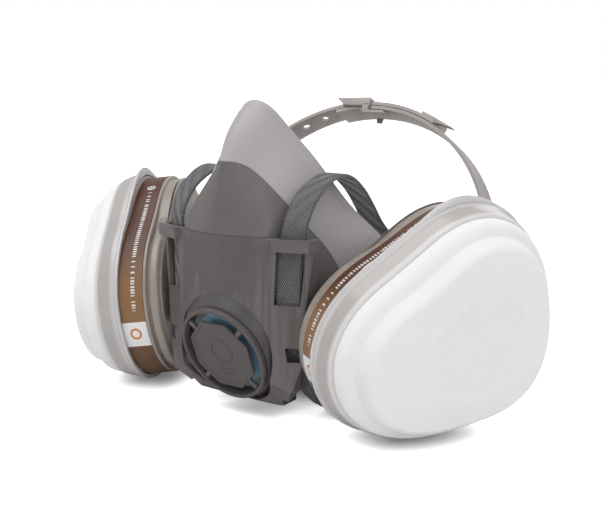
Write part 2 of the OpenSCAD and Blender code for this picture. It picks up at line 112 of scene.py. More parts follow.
def loft(rings, closed_v=False, cap=False):
    """Rings of equal length, each closed; closed_v joins the last ring to the first; cap closes both ends with fans."""
    k, n = len(rings), len(rings[0])
    verts = np.concatenate([np.asarray(r, float) for r in rings])
    faces = []
    for i in range(k if closed_v else k - 1):
        a0, b0 = i * n, ((i + 1) % k) * n
        for j in range(n):
            j1 = (j + 1) % n
            faces.append((a0 + j, a0 + j1, b0 + j1, b0 + j))
    if cap:
        c0 = len(verts)
        verts = np.vstack([verts, verts[:n].mean(0), verts[(k - 1) * n:k * n].mean(0)])
        for j in range(n):
            j1 = (j + 1) % n
            faces.append((c0, j1, j))
            faces.append((c0 + 1, (k - 1) * n + j, (k - 1) * n + j1))
    return verts, faces


def fillet(pts, n=4, closed=True):
    """Points (x, y) or (x, y, r): each corner with r is rounded by cutting back r along both its edges."""
    out, m = [], len(pts)
    for i, p in enumerate(pts):
        v = np.array(p[:2], float)
        r = p[2] if len(p) > 2 else 0
        if r <= 0 or (not closed and i in (0, m - 1)):
            out.append(v)
            continue
        a, b = np.array(pts[i - 1][:2], float), np.array(pts[(i + 1) % m][:2], float)
        la, lb = np.linalg.norm(a - v), np.linalg.norm(b - v)
        r = min(r, la * 0.48, lb * 0.48)
        p0, p1 = v + (a - v) / la * r, v + (b - v) / lb * r
        for k in range(n + 1):
            t = k / n
            out.append(p0 * (1 - t) ** 2 + v * 2 * t * (1 - t) * 1.0 + p1 * t * t)
    return np.array(out)


def circ(r, n, z=0.0, a0=0.0):
    t = np.arange(n) * 2 * math.pi / n + a0
    r = np.broadcast_to(r, (n,))
    return np.stack([r * np.cos(t), r * np.sin(t), np.full(n, float(z))], 1)


def revolve(name, place, prof, mat, body, n=128, nodes=(), flip=False, closed=True, cap=False, wob=None, c0=(0, 0)):
    rings = []
    for (r, z) in prof:
        q = circ(r, n, z)
        if wob is not None:
            q = wob(q, r, z)
        q[:, 0] += c0[0]
        q[:, 1] += c0[1]
        rings.append(q)
    v, f = loft(rings, closed_v=closed, cap=cap)
    return make(name, place(v), f, mat, body, nodes, flip, attrs=v)


def cr(p0, p1, p2, p3, t):
    return 0.5 * (2 * p1 + (p2 - p0) * t + (2 * p0 - 5 * p1 + 4 * p2 - p3) * t * t + (3 * p1 - p0 - 3 * p2 + p3) * t ** 3)


def rbox(name, place, lo, hi, r, mat, body, nodes=(), flip=False, seg=3, taper=None):
    """A box with rounded edges."""
    bm = bmesh.new()
    bmesh.ops.create_cube(bm, size=1)
    lo, hi = np.array(lo, float), np.array(hi, float)
    for v in bm.verts:
        p = np.array(v.co) + 0.5
        q = lo + p * (hi - lo)
        if taper is not None:
            q = taper(q)
        v.co = Vector(q)
    bmesh.ops.bevel(bm, geom=list(bm.edges) + list(bm.verts), offset=r, segments=seg, profile=0.5, affect="EDGES")
    verts = np.array([v.co for v in bm.verts])
    faces = [tuple(v.index for v in f.verts) for f in bm.faces]
    bm.verts.index_update()
    faces = [tuple(v.index for v in f.verts) for f in bm.faces]
    bm.free()
    return make(name, place(verts), faces, mat, body, nodes, flip, attrs=verts, sharp=50)


# ------------------------------------------------------------------ materials
class Nodes:
    """A small helper that writes node trees."""

    def __init__(self, name):
        self.m = bpy.data.materials.new(name)
        self.m.use_nodes = True
        self.t = self.m.node_tree
        self.t.nodes.clear()
        self.out = self.t.nodes.new("ShaderNodeOutputMaterial")
        self.b = self.t.nodes.new("ShaderNodeBsdfPrincipled")
        self.t.links.new(self.b.outputs[0], self.out.inputs[0])

    def put(self, sock, value):
        if value is None:
            return
        if hasattr(value, "is_output") or isinstance(value, bpy.types.NodeSocket):
            self.t.links.new(value, sock)
        else:
            if hasattr(sock, "default_value"):
                if isinstance(value, (tuple, list)) and len(value) == 3 and len(sock.default_value) == 4:
                    value = (*value, 1)
                sock.default_value = value

    def node(self, kind, out=0, props=None, **ins):
        n = self.t.nodes.new(kind)
        for k, v in (props or {}).items():
            setattr(n, k, v)
        for k, v in ins.items():
            key = int(k[1:]) if k[0] == "i" and k[1:].isdigit() else k.replace("_", " ")
            self.put(n.inputs[key], v)
        return n.outputs[out]

    def math(self, op, a, b=None, c=None, clamp=False):
        n = self.t.nodes.new("ShaderNodeMath")
        n.operation = op
        n.use_clamp = clamp
        for i, x in enumerate((a, b, c)):
            if x is not None:
                self.put(n.inputs[i], x)
        return n.outputs[0]

    def coord(self, scale=1.0):
        c = self.node("ShaderNodeTexCoord", out=3)
        return c

    def loc(self):
        n = self.t.nodes.new("ShaderNodeAttribute")
        n.attribute_name = "loc"
        return n.outputs["Vector"]

    def xyz(self, v):
        n = self.t.nodes.new("ShaderNodeSeparateXYZ")
        self.t.links.new(v, n.inputs[0])
        return n.outputs

    def noise(self, vec, scale, detail=2.0, rough=0.5, out=0):
        n = self.t.nodes.new("ShaderNodeTexNoise")
        self.t.links.new(vec, n.inputs["Vector"])
        n.inputs["Scale"].default_value = scale
        n.inputs["Detail"].default_value = detail
        n.inputs["Roughness"].default_value = rough
        return n.outputs[out]

    def ramp(self, fac, stops):
        n = self.t.nodes.new("ShaderNodeValToRGB")
        el = n.color_ramp.elements
        while len(el) < len(stops):
            el.new(0.5)
        for e, (p, c) in zip(el, stops):
            e.position = p
            e.color = (*c, 1) if len(c) == 3 else c
        self.t.links.new(fac, n.inputs[0])
        return n.outputs[0]

    def span(self, v, a, b, c=0.0, d=1.0):
        n = self.t.nodes.new("ShaderNodeMapRange")
        n.clamp = True
        self.put(n.inputs[0], v)
        for i, x in zip((1, 2, 3, 4), (a, b, c, d)):
            self.put(n.inputs[i], x)
        return n.outputs[0]

    def smooth(self, v, a, b):
        n = self.t.nodes.new("ShaderNodeMapRange")
        n.interpolation_type = "SMOOTHSTEP"
        self.put(n.inputs[0], v)
        for i, x in zip((1, 2, 3, 4), (a, b, 0.0, 1.0)):
            self.put(n.inputs[i], x)
        return n.outputs[0]

    def mix(self, fac, a, b, mode="MIX"):
        n = self.t.nodes.new("ShaderNodeMix")
        n.data_type = "RGBA"
        n.blend_type = mode
        self.put(n.inputs[0], fac)
        self.put(n.inputs[6], a)
        self.put(n.inputs[7], b)
        return n.outputs[2]

    def bump(self, height, dist, strength=1.0, normal=None):
        n = self.t.nodes.new("ShaderNodeBump")
        n.inputs["Strength"].default_value = strength
        n.inputs["Distance"].default_value = dist
        self.t.links.new(height, n.inputs["Height"])
        if normal is not None:
            self.t.links.new(normal, n.inputs["Normal"])
        return n.outputs[0]

    def edge(self):
        g = self.t.nodes.new("ShaderNodeNewGeometry")
        return g.outputs["Pointiness"]

    def set(self, **kw):
        for k, v in kw.items():
            self.put(self.b.inputs[k.replace("_", " ")], v)
        return self.m


def plastic(name, col, rough=0.5, var=0.06, grain=0.35, grain_mm=0.35, edge=0.25, spec=0.5, scuff=0.08, coat=0.0):
    """Moulded plastic: fine spark-eroded grain, slow colour and gloss drift, paler worn edges and a little dust."""
    m = Nodes(name)
    c = m.coord()
    slow = m.noise(c, 22, 3, 0.55)
    fine = m.noise(c, 1000 / grain_mm, 2, 0.6)
    mid = m.noise(c, 420, 4, 0.6)
    dark = tuple(x * (1 - var * 1.6) for x in col)
    light = tuple(min(1, x * (1 + var * 1.6)) for x in col)
    base = m.ramp(slow, [(0.3, dark), (0.7, light)])
    base = m.mix(m.span(mid, 0.42, 0.75, 0, scuff), base, tuple(min(1, x * 1.5 + 0.02) for x in col))
    base = m.mix(m.span(m.edge(), 0.52, 0.62, 0, edge), base, tuple(min(1, x * 1.9 + 0.03) for x in col))
    r = m.math("ADD", m.span(slow, 0.3, 0.7, rough - 0.05, rough + 0.05), m.span(mid, 0.3, 0.7, -0.03, 0.05))
    n = m.bump(mid, 0.00006, 0.35)
    n = m.bump(fine, 0.00005, grain, n)
    return m.set(Base_Color=base, Roughness=r, Normal=n, Specular_IOR_Level=spec, Coat_Weight=coat, Coat_Roughness=0.25)


def rubber(name, col, rough=0.5, grain=0.3, lines=False, sub=0.0):
    """Moulded elastomer: silky, with faint flow marks and a few dust specks."""
    m = Nodes(name)
    c = m.coord()
    slow = m.noise(c, 16, 4, 0.6)
    fine = m.noise(c, 2600, 2, 0.5)
    flow = m.noise(c, 120, 5, 0.65)
    base = m.ramp(slow, [(0.28, tuple(x * 0.93 for x in col)), (0.72, tuple(min(1, x * 1.06) for x in col))])
    base = m.mix(m.span(flow, 0.55, 0.8, 0, 0.12), base, tuple(min(1, x * 1.25) for x in col))
    vor = m.t.nodes.new("ShaderNodeTexVoronoi")
    vor.inputs["Scale"].default_value = 130
    m.t.links.new(c, vor.inputs["Vector"])
    speck = m.span(vor.outputs["Distance"], 0.03, 0.05, 1, 0)
    base = m.mix(m.math("MULTIPLY", speck, 0.35), base, tuple(x * 0.45 for x in col))
    r = m.span(flow, 0.3, 0.7, rough - 0.06, rough + 0.06)
    n = m.bump(flow, 0.00012, 0.25)
    n = m.bump(fine, 0.00004, grain, n)
    return m.set(Base_Color=base, Roughness=r, Normal=n, Sheen_Weight=0.12, Sheen_Roughness=0.4, Subsurface_Weight=sub,
                 Subsurface_Radius=(0.004, 0.0035, 0.003), Subsurface_Scale=0.5)


M_SEAL = rubber("seal_elastomer", (0.400, 0.374, 0.384), 0.50, sub=0.12)
M_SHELL = plastic("shell_plastic", (0.124, 0.112, 0.111), 0.46, grain=0.3, edge=0.15)
M_COVER = plastic("cover_plastic", (0.106, 0.092, 0.091), 0.56, grain=0.55, grain_mm=0.3, edge=0.3)
M_COLLAR = plastic("collar_plastic", (0.066, 0.059, 0.061), 0.40, grain=0.3, edge=0.1)
M_GUARD = plastic("guard_plastic", (0.089, 0.077, 0.075), 0.54, grain=0.5, grain_mm=0.3, edge=0.35)
M_PORT = plastic("port_plastic", (0.27, 0.26, 0.25), 0.5)
M_CASE = plastic("case_plastic", (0.300, 0.258, 0.228), 0.30, var=0.04, grain=0.15, edge=0.15, coat=0.25)
M_GRILLE = plastic("grille_plastic", (0.300, 0.258, 0.228), 0.4, var=0.04, grain=0.2)
M_BAND = plastic("band_plastic", (0.350, 0.315, 0.305), 0.46, grain=0.35, edge=0.2)
M_RIVET = plastic("rivet_plastic", (0.27, 0.25, 0.24), 0.42, grain=0.3)
M_CLIP = plastic("clip_plastic", (0.085, 0.08, 0.078), 0.5, grain=0.45)
M_GASKET = rubber("gasket_rubber", (0.03, 0.03, 0.03), 0.6)
M_CLEAR = rubber("flap_clear", (0.72, 0.72, 0.68), 0.4, sub=0.4)


def flap_material():
    m = Nodes("flap_silicone")
    c = m.loc()
    x, y, z = m.xyz(c)
    r = m.math("SQRT", m.math("ADD", m.math("MULTIPLY", x, x), m.math("MULTIPLY", y, y)))
    rings = m.math("SINE", m.math("MULTIPLY", r, 5.2))
    slow = m.noise(c, 0.18, 3)
    base = m.ramp(slow, [(0.3, (0.20, 0.37, 0.53)), (0.7, (0.26, 0.44, 0.60))])
    base = m.mix(m.span(r, 12.5, 15.8, 0, 0.5), base, (0.34, 0.54, 0.69))
    n = m.bump(rings, 0.00003, 0.5)
    return m.set(Base_Color=base, Roughness=0.34, Normal=n, Subsurface_Weight=0.25, Subsurface_Radius=(0.002, 0.003, 0.004),
                 Subsurface_Scale=0.4, Coat_Weight=0.15)


M_FLAP = flap_material()


def carbon_material():
    m = Nodes("carbon_granules")
    c = m.coord()
    v = m.t.nodes.new("ShaderNodeTexVoronoi")
    v.inputs["Scale"].default_value = 900
    m.t.links.new(c, v.inputs["Vector"])
    base = m.ramp(v.outputs["Color"], [(0.2, (0.008, 0.008, 0.008)), (0.8, (0.04, 0.04, 0.042))])
    return m.set(Base_Color=base, Roughness=0.75, Normal=m.bump(v.outputs["Distance"], 0.0006, 0.9))


def felt_material(name, col, scale=1.0, emboss=False):
    """Pressed nonwoven: fibres in all directions, soft, slightly translucent."""
    m = Nodes(name)
    c = m.coord()
    f1 = m.noise(c, 1500 * scale, 3, 0.7)
    f2 = m.noise(c, 300 * scale, 4, 0.65)
    wv = m.t.nodes.new("ShaderNodeTexVoronoi")
    wv.feature = "DISTANCE_TO_EDGE"
    wv.inputs["Scale"].default_value = 1100 * scale
    m.t.links.new(c, wv.inputs["Vector"])
    slow = m.noise(c, 25, 3)
    base = m.ramp(slow, [(0.3, tuple(x * 0.975 for x in col)), (0.7, col)])
    base = m.mix(m.span(f2, 0.45, 0.8, 0, 0.10), base, tuple(x * 0.86 for x in col))
    h = m.math("ADD", m.math("MULTIPLY", f1, 0.6), m.math("MULTIPLY", f2, 0.6))
    n = m.bump(h, 0.00022, 0.45)
    n = m.bump(wv.outputs["Distance"], 0.0001, 0.25, n)
    if emboss:
        x, y, z = m.xyz(m.loc())
        # a fine point-bonded lattice that is only pressed into the middle of the pad
        gx = m.math("SINE", m.math("MULTIPLY", m.math("ADD", x, y), 6.283 / 1.5 * 0.7071))
        gy = m.math("SINE", m.math("MULTIPLY", m.math("SUBTRACT", x, y), 6.283 / 1.5 * 0.7071))
        g = m.math("MULTIPLY", gx, gy)
        d = m.math("SQRT", m.math("ADD", m.math("MULTIPLY", m.math("ADD", x, -5.2), m.math("ADD", x, -5.2)), m.math("MULTIPLY", y, y)))
        inside = m.math("MULTIPLY", m.span(d, 17, 20.5, 1, 0), m.span(z, 18, 20, 0, 1))
        n = m.bump(m.math("MULTIPLY", g, inside), 0.00010, 0.4, n)
    return m.set(Base_Color=base, Roughness=0.85, Normal=n, Sheen_Weight=0.3, Sheen_Roughness=0.5, Subsurface_Weight=0.35,
                 Subsurface_Radius=(0.004, 0.004, 0.004), Subsurface_Scale=0.6, Specular_IOR_Level=0.25)


M_CARBON = carbon_material()
M_PAD = felt_material("filter_felt", (0.825, 0.817, 0.832), emboss=True)
M_FELT = felt_material("dust_felt", (0.72, 0.72, 0.70))


def label_material():
    """Glossy brown film with a pale patch and rows of plain ticks, printed with nothing that can be read. loc = (along, height, angle)."""
    m = Nodes("label_film")
    c = m.loc()
    s, h, a = m.xyz(c)
    o = m.coord()
    slow = m.noise(o, 35, 3)
    base = m.ramp(slow, [(0.25, (0.078, 0.027, 0.011)), (0.75, (0.096, 0.034, 0.014))])
    # painted highlight: a golden glow on the film that grows towards the pale patch; then a row of pale blocks of
    # uneven length along the band
    base = m.mix(m.math("MULTIPLY", m.smooth(a, 150, 178), m.span(a, 191, 192, 0.85, 0.25)), base, (0.270, 0.150, 0.068))
    cell = m.math("MULTIPLY", s, 1 / 1.35)
    idx = m.math("FLOOR", cell)
    fr = m.math("FRACT", cell)
    w = m.t.nodes.new("ShaderNodeTexWhiteNoise")
    w.noise_dimensions = "1D"
    m.t.links.new(idx, w.inputs["W"])
    rnd = w.outputs["Value"]
    on = m.math("LESS_THAN", fr, m.math("ADD", 0.30, m.math("MULTIPLY", rnd, 0.42)))
    on = m.math("MULTIPLY", on, m.math("GREATER_THAN", rnd, 0.10))
    row = m.math("MULTIPLY", m.math("GREATER_THAN", h, -8.1), m.math("LESS_THAN", h, -6.35))
    reach = m.math("MULTIPLY", m.math("GREATER_THAN", a, 97.0), m.math("LESS_THAN", a, 186.0))
    marks = m.math("MULTIPLY", m.math("MULTIPLY", on, row), reach)
    row2 = m.math("MULTIPLY", m.math("GREATER_THAN", h, -4.1), m.math("LESS_THAN", h, -3.2))
    reach2 = m.math("MULTIPLY", m.math("GREATER_THAN", a, 116.0), m.math("LESS_THAN", a, 148.0))
    dark = m.math("MULTIPLY", m.math("MULTIPLY", on, row2), reach2)
    base = m.mix(m.math("MULTIPLY", marks, 0.92), base, (0.74, 0.72, 0.71))
    base = m.mix(m.math("MULTIPLY", dark, 0.75), base, (0.012, 0.010, 0.010))
    # a small pale oval near the top
    ox = m.math("MULTIPLY", m.math("SUBTRACT", a, 92.5), 0.80 / 1.7)
    oy = m.math("MULTIPLY", m.math("ADD", h, 7.0), 1 / 1.9)
    od = m.math("SQRT", m.math("ADD", m.math("MULTIPLY", ox, ox), m.math("MULTIPLY", oy, oy)))
    oval = m.math("SUBTRACT", m.math("LESS_THAN", od, 1.0), m.math("MULTIPLY", m.math("GREATER_THAN", od, 0.35), m.math("LESS_THAN", od, 0.62)))
    base = m.mix(oval, base, (0.74, 0.73, 0.74))
    patch = m.math("MULTIPLY", m.math("GREATER_THAN", a, 191.5), m.math("LESS_THAN", a, 204.5))
    base = m.mix(patch, base, (0.80, 0.79, 0.80))
    # plain open ring in the patch
    dx = m.math("MULTIPLY", m.math("SUBTRACT", a, 197.5), 0.84)
    dy = m.math("ADD", h, 6.2)
    d = m.math("SQRT", m.math("ADD", m.math("MULTIPLY", dx, dx), m.math("MULTIPLY", dy, dy)))
    ring = m.math("MULTIPLY", m.math("MULTIPLY", m.math("GREATER_THAN", d, 1.6), m.math("LESS_THAN", d, 2.5)), patch)
    base = m.mix(ring, base, (0.60, 0.20, 0.05))
    fine = m.noise(o, 600, 4, 0.6)
    n = m.bump(fine, 0.00003, 0.12)
    n = m.bump(m.math("ADD", marks, patch), 0.00004, 0.3, n)
    return m.set(Base_Color=base, Roughness=m.span(fine, 0.3, 0.7, 0.36, 0.46), Normal=n, Specular_IOR_Level=0.35, Coat_Weight=0.12, Coat_Roughness=0.3)


M_LABEL = label_material()


def retainer_material():
    """Milky translucent plastic, clearer in the thin flange that lies over the label, where the colour is also painted
    near white as painted light.
    """
    m = Nodes("retainer_clear")
    c = m.coord()
    s, h, a = m.xyz(m.loc())
    slow = m.noise(c, 40, 2)
    base = m.ramp(slow, [(0.3, (0.435, 0.412, 0.400)), (0.7, (0.480, 0.457, 0.445))])
    # the moulded wall turns paler where it is thick, at the front edge
    base = m.mix(m.span(h, 8.0, 9.4, 0, 0.85), base, (0.76, 0.745, 0.745))
    base = m.mix(m.math("MULTIPLY", m.span(h, 0.5, 1.2, 0, 1), m.span(h, 1.6, 3.4, 0.55, 0)), base, (0.72, 0.70, 0.71))
    # painted light: the thin flange is painted near white to lift the shade on its underside; the same mask also gives
    # it more transmission
    thin_flange_clear_and_painted_light = m.span(h, 0.1, 0.9, 1, 0)
    base = m.mix(thin_flange_clear_and_painted_light, base, (0.84, 0.83, 0.85))
    fine = m.noise(c, 300, 2, 0.5)
    n = m.bump(fine, 0.00003, 0.15)
    tr = m.math("ADD", 0.06, m.math("MULTIPLY", thin_flange_clear_and_painted_light, 0.30))
    return m.set(Base_Color=base, Roughness=m.span(fine, 0.3, 0.7, 0.20, 0.26), Normal=n, Transmission_Weight=tr, IOR=1.45,
                 Subsurface_Weight=0.3, Subsurface_Radius=(0.003, 0.003, 0.003), Subsurface_Scale=0.5, Coat_Weight=0.25, Coat_Roughness=0.12)


M_RET = retainer_material()


def web_material():
    """Two-tone twill elastic webbing with corded edges. loc = (across in mm, along in mm, side)."""
    m = Nodes("webbing")
    u, v, w = m.xyz(m.loc())
    o = m.coord()
    diag = m.math("MULTIPLY", m.math("SUBTRACT", m.math("MULTIPLY", v, 0.58), u), 1 / 0.88)
    jit = m.math("MULTIPLY", m.math("SUBTRACT", m.noise(o, 650, 2), 0.5), 0.34)
    ph = m.math("FRACT", m.math("ADD", diag, jit))
    thread = m.smooth(m.math("ABSOLUTE", m.math("SUBTRACT", ph, 0.5)), 0.20, 0.36)
    stitch = m.math("SINE", m.math("MULTIPLY", m.math("ADD", v, m.math("MULTIPLY", u, 0.25)), 6.283 / 0.62))
    fray = m.noise(o, 3000, 3, 0.7)
    light = m.ramp(fray, [(0.3, (0.56, 0.565, 0.59)), (0.7, (0.97, 0.975, 0.99))])
    light = m.mix(m.smooth(stitch, -0.9, 0.1), (0.17, 0.172, 0.185), light)
    dark = m.ramp(fray, [(0.3, (0.034, 0.034, 0.038)), (0.7, (0.110, 0.111, 0.119))])
    base = m.mix(thread, light, dark)
    weft = m.math("SINE", m.math("MULTIPLY", v, 6.283 / 0.8))
    edge = m.span(m.math("ABSOLUTE", u), 4.4, 4.6, 0, 1)
    edge_c = m.mix(m.smooth(weft, -0.3, 0.5), (0.05, 0.052, 0.06), (0.26, 0.27, 0.29))
    base = m.mix(edge, base, edge_c)
    base = m.mix(m.span(w, 0.4, 0.6, 0, 0.62), base, (0.012, 0.012, 0.014))
    h = m.math("ADD", m.math("MULTIPLY", m.math("SUBTRACT", 1.0, thread), 0.8), m.math("ADD", m.math("MULTIPLY", fray, 0.7), m.math("MULTIPLY", stitch, 0.15)))
    n = m.bump(h, 0.00022, 0.8)
    return m.set(Base_Color=base, Roughness=0.8, Normal=n, Sheen_Weight=0.2, Sheen_Roughness=0.45, Specular_IOR_Level=0.2)


M_WEB = web_material()

# ------------------------------------------------------------------ cartridges
NC = 288
TC = np.arange(NC) * 2 * math.pi / NC


def out_r(t):
    return 47 * (1 + 0.0437 * np.cos(2 * t) + 0.0847 * np.sin(2 * t) - 0.0438 * np.cos(3 * t) - 0.0437 * np.sin(3 * t)
                 - 0.0017 * np.cos(4 * t) - 0.0114 * np.sin(4 * t))


R0 = out_r(TC)
ARC = np.concatenate([[0], np.cumsum(np.hypot(np.diff(R0 * np.cos(TC)), np.diff(R0 * np.sin(TC))))])


def c_ring(d, h):
    d = np.broadcast_to(d, (NC,))
    h = np.broadcast_to(h, (NC,))
    return np.stack([(R0 - d) * np.cos(TC), (R0 - d) * np.sin(TC), h], 1)


def c_attr(rings):
    return np.concatenate([np.stack([ARC, r[:, 2], np.degrees(TC)], 1) for r in rings])


def bump_win(deg, c, w):
    """A smooth bump of height 1 round angle c, w degrees wide on each side."""
    x = np.abs((deg - c + 180) % 360 - 180) / w
    return np.where(x < 1, np.cos(x * math.pi / 2) ** 2, 0)


DEG = np.degrees(TC)


# the case is a little flatter than the retainer along its top edge
CROWN_D = bump_win(DEG, 96, 58) * 2.2
REAR_D = bump_win(DEG, 100, 62) * 1.6
# the felt and the front of the retainer have no hollow side: the outline is stretched to its convex hull
_pts = np.stack([R0 * np.cos(TC), R0 * np.sin(TC)], 1)
_sup = np.array([(_pts @ np.array((math.cos(a), math.sin(a)))).max() for a in np.arange(720) * math.pi / 360])
_dirs = np.stack([np.cos(np.arange(720) * math.pi / 360), np.sin(np.arange(720) * math.pi / 360)], 1)
R_HULL = np.array([np.min(_sup[k] / k_) if len(k_) else 0 for k, k_ in (((_dirs @ u) > 0.2, (_dirs @ u)[(_dirs @ u) > 0.2]) for u in np.stack([np.cos(TC), np.sin(TC)], 1))])
HULL_D = R0 - R_HULL


def cartridge(side, flip):
    body = "cartridge_" + side
    # case: recessed label band, lip, groove, rounded rear bead, stepped back plate with the bayonet socket
    prof = fillet([(5.8, 1.45), (2.5, 1.45, 0.4), (2.4, -0.75, 0.12), (2.75, -0.9, 0.05), (2.75, -11.55, 0.05), (2.35, -11.7, 0.15),
                   (2.3, -12.9, 0.5), (4.6, -13.25, 0.5), (4.6, -13.75, 0.4), (3.25, -14.3, 1.1), (3.1, -17.5, 1.4), (5.2, -18.5, 0.5),
                   (5.6, -19.15, 0.4), (9.0, -19.15)], 5, closed=False)
    rings = [c_ring(d + (CROWN_D if h < -0.8 and d < 5.3 else 0) + (REAR_D if h < -13 and d < 5.3 else 0), h) for d, h in prof]
    for rr, h in ((22.6, -19.15), (22.1, -19.25), (21.9, -19.5), (21.2, -20.2), (20.9, -20.4), (20.5, -20.45), (17.9, -20.45), (17.7, -20.1), (17.2, -20.1), (17.0, -20.45),
                  (15.2, -20.45), (14.7, -20.4), (14.4, -20.1), (14.35, -19.6), (14.35, -18.9), (14.5, -18.75), (17.3, -18.75), (17.4, -18.6), (17.4, -17.6)):
        rings.append(np.stack([rr * np.cos(TC) - 12, rr * np.sin(TC), np.full(NC, h)], 1))
    rings.append(c_ring(5.8, -17.6))
    v, f = loft(rings, closed_v=True)
    make("case_shell_" + side, CART(v), f, M_CASE, body, "cartridge_case_" + side, flip, attrs=c_attr(rings), sharp=35)
    # printed film
    prof = fillet([(2.28, -0.95, 0.1), (2.28, -11.5, 0.1), (2.72, -11.5), (2.72, -0.95)], 3)
    rings = [c_ring(d + CROWN_D, h) for d, h in prof]
    v, f = loft(rings, closed_v=True)
    make("label_film_" + side, CART(v), f, M_LABEL, body, "cartridge_label_" + side, flip, attrs=c_attr(rings), sharp=40)
    # clip-on retainer: flared flange with a pull tab, sloping side, front edge turned in over the pad
    tab = bump_win(DEG, 84, 24) * 2.2
    notch = sum(bump_win(DEG, a, 5.0) for a in (24, 140, 214, 300))
    loop = fillet([(1.92, -1.0, 0.1), (0.1, -1.05, 0.3), (0.0, -0.1, 0.3), (0.95, 0.35, 0.4), (1.15, 3.2, 0.5), (2.15, 7.2, 0.5), (2.85, 9.3, 0.8),
                   (3.6, 10.15, 0.7), (6.4, 10.35, 0.3), (6.5, 9.8, 0.25), (4.75, 9.2, 0.8), (3.45, 6.6, 0.6), (2.6, 3.3, 0.5), (1.95, 1.6, 0.3)], 4)
    rings = []
    for d, h in loop:
        dd = np.full(NC, d)
        hh = np.full(NC, h)
        if h < 0.3 and d < 1.5:
            dd = dd - tab - notch * 0.0
            hh = hh - bump_win(DEG, 84, 24) * 0.4
        if h < 0.4:
            dd = dd - notch * 0.35
        dd = dd + HULL_D * min(max((h - 0.3) / 6.0, 0), 1) * 0.9
        rings.append(c_ring(dd, hh))
    v, f = loft(rings, closed_v=True)
    make("retainer_rim_" + side, CART(v), f, M_RET, "retainer_" + side, "pad_retainer_" + side, flip, attrs=c_attr(rings), sharp=45)
    # prefilter pad, pressed in steps
    prof = fillet([(7.0, 3.1, 0.4), (5.2, 3.2, 0.8), (5.0, 8.8, 0.5), (4.2, 10.8, 0.5), (4.3, 13.4, 1.6), (5.6, 16.0, 1.5), (8.3, 17.5, 0.9), (9.0, 17.9, 0.5),
                   (9.8, 20.6, 1.3), (11.0, 22.9, 1.3), (12.6, 24.1, 0.9), (14.2, 24.0, 0.9), (20.0, 24.3)], 6, closed=False)

    def p_ring(d, h):
        k = min(max((h - 14.0) / 8.0, 0), 1)
        q = c_ring(d + HULL_D * 0.95, h)
        q[:, 0] += 0.9 * k
        q[:, 1] -= 0.5 * k
        return q
    rings = [c_ring(0, 3.1) * np.array((0.05, 0.05, 1)), c_ring(0, 3.1) * np.array((0.6, 0.6, 1))]
    rings += [p_ring(d, h) for d, h in prof]
    inner = p_ring(20.0, 24.3)
    for k in range(1, 26):
        t = k / 26
        r = (inner - np.array((0.9, -0.5, 0))) * np.array((1 - t, 1 - t, 1)) + np.array((0.9, -0.5, 0))
        r[:, 2] = 24.3 + 0.3 * (1 - (1 - t) ** 2)
        rings.append(r)
    v, f = loft(rings, cap=True)
    # shallow pressed recess with a soft rounded triangle outline, a little off centre
    cx, cy = 5.2, -1.0
    ang = np.arctan2(v[:, 1] - cy, v[:, 0] - cx)
    rad = np.hypot(v[:, 0] - cx, v[:, 1] - cy)
    rim = out_r(ang) * 0.425
    top = np.clip((v[:, 2] - 22) / 1.5, 0, 1)
    v[:, 2] -= top * 0.95 * (1 / (1 + np.exp((rad - rim) / 0.5)))
    v[:, 2] += top * 0.22 * np.exp(-((rad - rim - 1.8) / 1.3) ** 2)
    make("prefilter_" + side, CART(v), f, M_PAD, "retainer_" + side, "prefilter_pad_" + side, flip, attrs=v)


for side, flip in (("left", True), ("right", False)):
    cartridge(side, flip)

# ------------------------------------------------------------------ facepiece
RIM = [[0, 70.4, 0], [7.5, 67.2, 0], [14.5, 56, 0], [22, 43.5, 0], [32, 23, 0], [44, 7, 0], [52, -8, 0], [54, -22, 0], [50, -45, 0], [30, -64, 0], [0, -70.4, 0]]
JOINT = [[0, 58.9, 27.8], [4.8, 57, 25.2], [9.5, 52.3, 23], [18, 44, 23.9], [27, 30, 23.5], [34, 14.5, 22], [39, -2, 24.5], [41, -17, 29], [36, -38, 30], [22, -53.5, 28], [0, -58, 27]]
BROW = [um(0, -41.6, 76.9), um(8, -40.6, 76.9), um(16, -37.6, 76.8), um(21.8, -34.4, 76.7), um(24.2, -27.2, 72.5), um(31.5, -24.5, 62),
        um(33, -23.5, 50), um(32.5, -23, 38), um(28, -24, 26), um(16, -27, 18), um(0, -28, 16)]
BEHIND = [um(0, -36.4, 76.7), um(8, -35.6, 76.7), um(16, -33.6, 76.3), um(20.6, -30.5, 74.6), um(23.4, -27, 71), um(29, -25.2, 61),
          um(31, -24.4, 50), um(30, -24, 39), um(26, -25, 28), um(15, -28, 21.5), um(0, -29, 20)]
SUB = 16


def whole(h):
    h = np.array(h, float)
    m = h[-2:0:-1] * np.array((-1, 1, 1))
    return np.vstack([h, m])


def m_ring(h, s=SUB):
    c = whole(h)
    n = len(c)
    return np.array([cr(c[(i - 1) % n], c[i], c[(i + 1) % n], c[(i + 2) % n], j / s) for i in range(n) for j in range(s)])


def inset(r, d, w=0.0):
    v = r[:, :2] + np.array((0, 12))
    v = v / np.maximum(np.linalg.norm(v, axis=1), 1)[:, None]
    o = r.copy()
    o[:, :2] -= np.asarray(d).reshape(-1, 1) * v
    o[:, 2] += w
    return o


def outset_mid(a, b, t, f):
    q = a * (1 - t) + b * t
    return inset(q, -f)


r_rim, r_joint, r_brow, r_behind = m_ring(RIM), m_ring(JOINT), m_ring(BROW), m_ring(BEHIND)
ridge = np.exp(-(r_joint[:, 0] / 0.5) ** 2) * (r_joint[:, 1] > 0)


